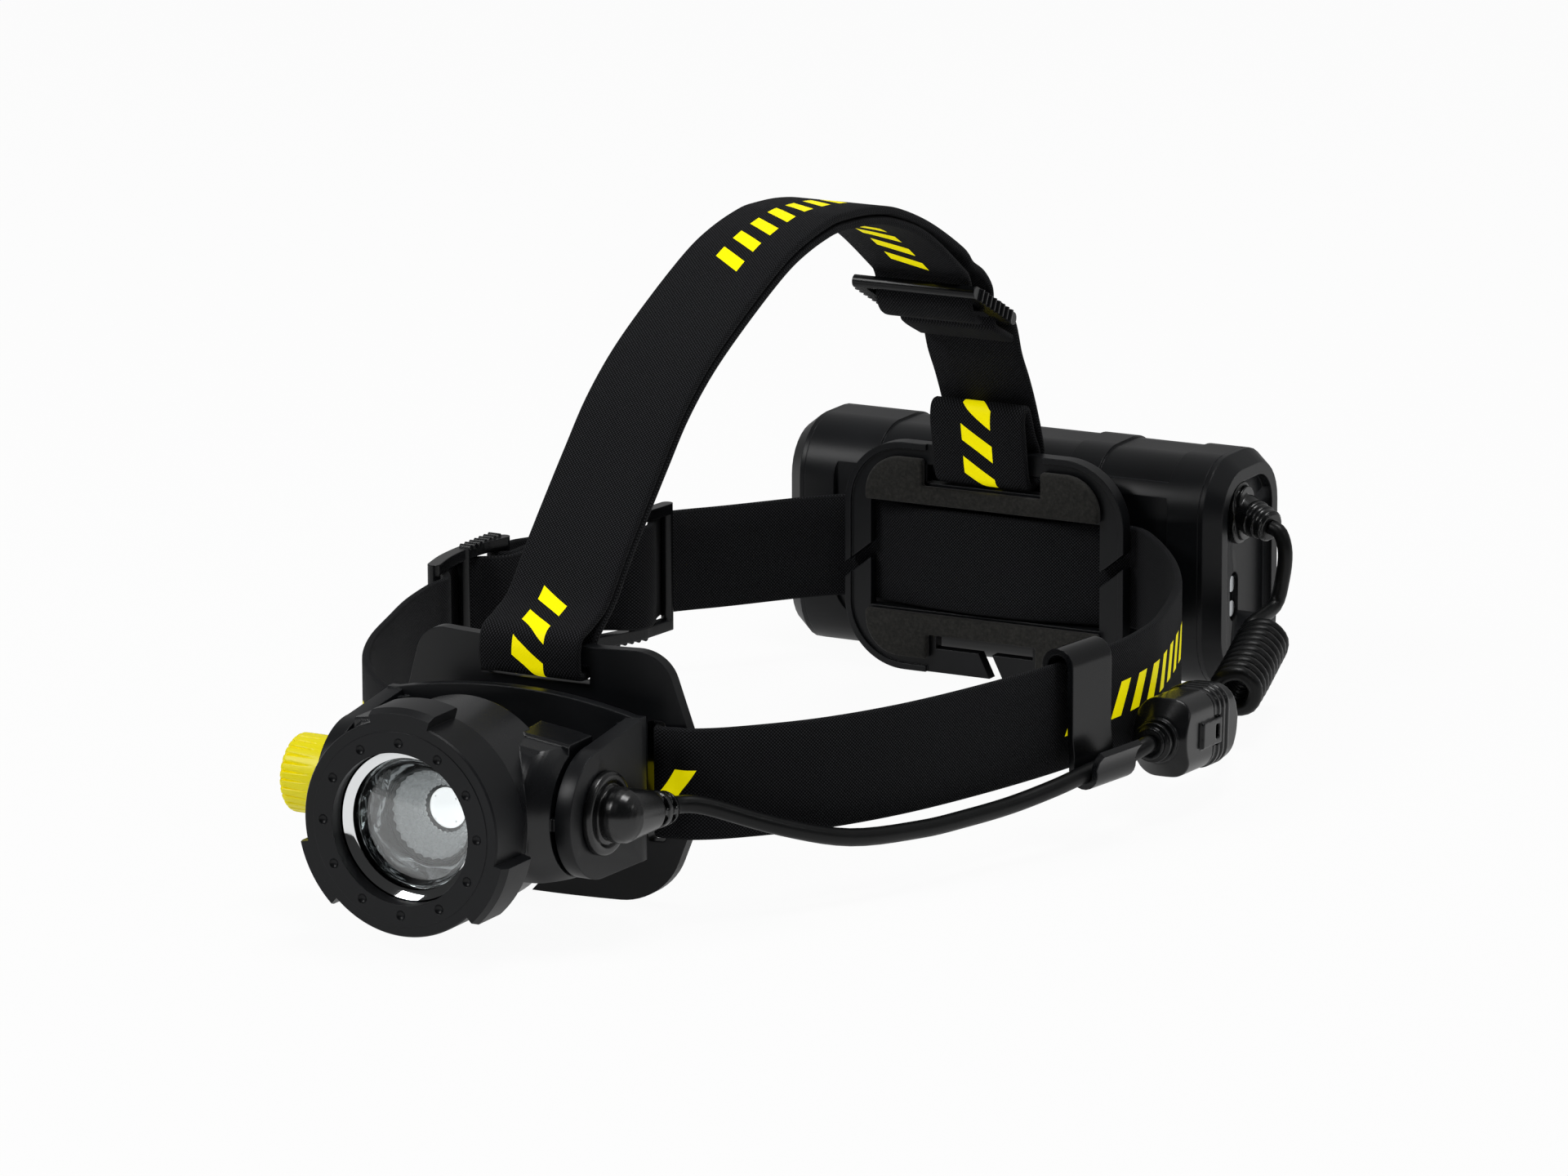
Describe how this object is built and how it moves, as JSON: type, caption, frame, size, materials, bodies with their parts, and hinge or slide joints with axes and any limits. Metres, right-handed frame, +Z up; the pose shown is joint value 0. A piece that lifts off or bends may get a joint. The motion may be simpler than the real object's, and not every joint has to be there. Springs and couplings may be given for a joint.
{
  "type": "headlamp",
  "caption": "Strap-on work headlamp with a tilting, focusing lamp head, side dimmer, adjustable crown and head straps, and a rear battery box on a curly lead.",
  "frame": {"origin": "middle of the head opening, half way up the headband, on the lamp's own centre plane", "axes": "+Z up, +X towards the wearer's left, the lamp looks along -Y and the battery box is at +Y"},
  "size_m": [0.1905, 0.3201, 0.1313],
  "materials": {
    "black_plastic": "fine satin texture",
    "satin_black": "satin",
    "webbing": "woven elastic",
    "foam": "speckled",
    "steel": "brushed",
    "aluminium": "machined",
    "led_white": "gloss",
    "board": "solder mask",
    "seal_rubber": "matt",
    "cord_rubber": "satin",
    "chrome": "bright",
    "clear": "clear",
    "contact_metal": "plated",
    "yellow": "satin",
    "cell_wrap": "shrink wrap"
  },
  "bodies": {
    "frame": {"front_plate": "black_plastic", "forehead_pad_upper": "foam", "forehead_pad_lower": "foam", "tilt_bracket": "black_plastic", "bracket_screws": "steel", "lamp_strain_relief": "cord_rubber", "headband": "webbing", "front_slider": "black_plastic", "rear_slider": "black_plastic", "crown_strap": "webbing", "crown_slider": "black_plastic", "rear_strap": "webbing", "rear_plate_upper": "black_plastic", "rear_plate_lower": "black_plastic", "rear_pad_upper": "foam", "rear_pad_lower": "foam", "plate_screws": "steel", "battery_case": "black_plastic", "end_cap_left": "black_plastic", "end_cap_right": "black_plastic", "cap_gaskets": "seal_rubber", "cell_upper": "cell_wrap", "cell_lower": "cell_wrap", "cell_cradles": "black_plastic", "cell_links": "contact_metal", "power_board": "board", "charge_contacts": "steel", "battery_strain_relief": "cord_rubber", "cable_clip": "black_plastic", "lamp_cable": "cord_rubber", "cable_plug": "black_plastic", "cable_socket": "black_plastic", "plug_lead": "cord_rubber", "curly_cable": "cord_rubber", "battery_lead": "cord_rubber"},
    "lamp_head": {"lamp_housing": "satin_black", "rear_cover": "black_plastic", "heat_sink": "aluminium", "led_module": "led_white", "driver_board": "board", "rotary_switch": "black_plastic", "ring_seal": "seal_rubber", "knob_bushing": "seal_rubber"},
    "focus_ring": {"focus_ring": "satin_black", "lens_trim_ring": "chrome", "front_window": "clear"},
    "lens_carrier": {"lens_carrier": "black_plastic", "focus_optic": "clear"},
    "switch_plunger": {"switch_plunger": "contact_metal"},
    "dimmer_knob": {"knob_shaft": "steel", "dimmer_knob": "yellow"}
  },
  "joints": [
    {"name": "lamp_tilt", "type": "hinge", "parent": "frame", "child": "lamp_head", "pos_m": [0, -0.137, 0], "axis": [1, 0, 0], "range_deg": [0, 45]},
    {"name": "focus_turn", "type": "hinge", "parent": "lamp_head", "child": "focus_ring", "pos_m": [0, -0.163, 0], "axis": [0, 1, 0], "range_deg": [0, 90]},
    {"name": "lens_slide", "type": "slide", "parent": "lamp_head", "child": "lens_carrier", "axis": [0, 1, 0], "range_m": [0, 0.003]},
    {"name": "knob_press", "type": "slide", "parent": "lamp_head", "child": "switch_plunger", "axis": [1, 0, 0], "range_m": [0, 0.001], "stiffness_N_per_m": 600},
    {"name": "knob_turn", "type": "hinge", "parent": "switch_plunger", "child": "dimmer_knob", "pos_m": [-0.04, -0.137, 0], "axis": [1, 0, 0], "continuous": true}
  ],
  "couplings": [
    {"joint": "lens_slide", "follows": "focus_turn", "m_per_rad": 0.0019098}
  ]
}
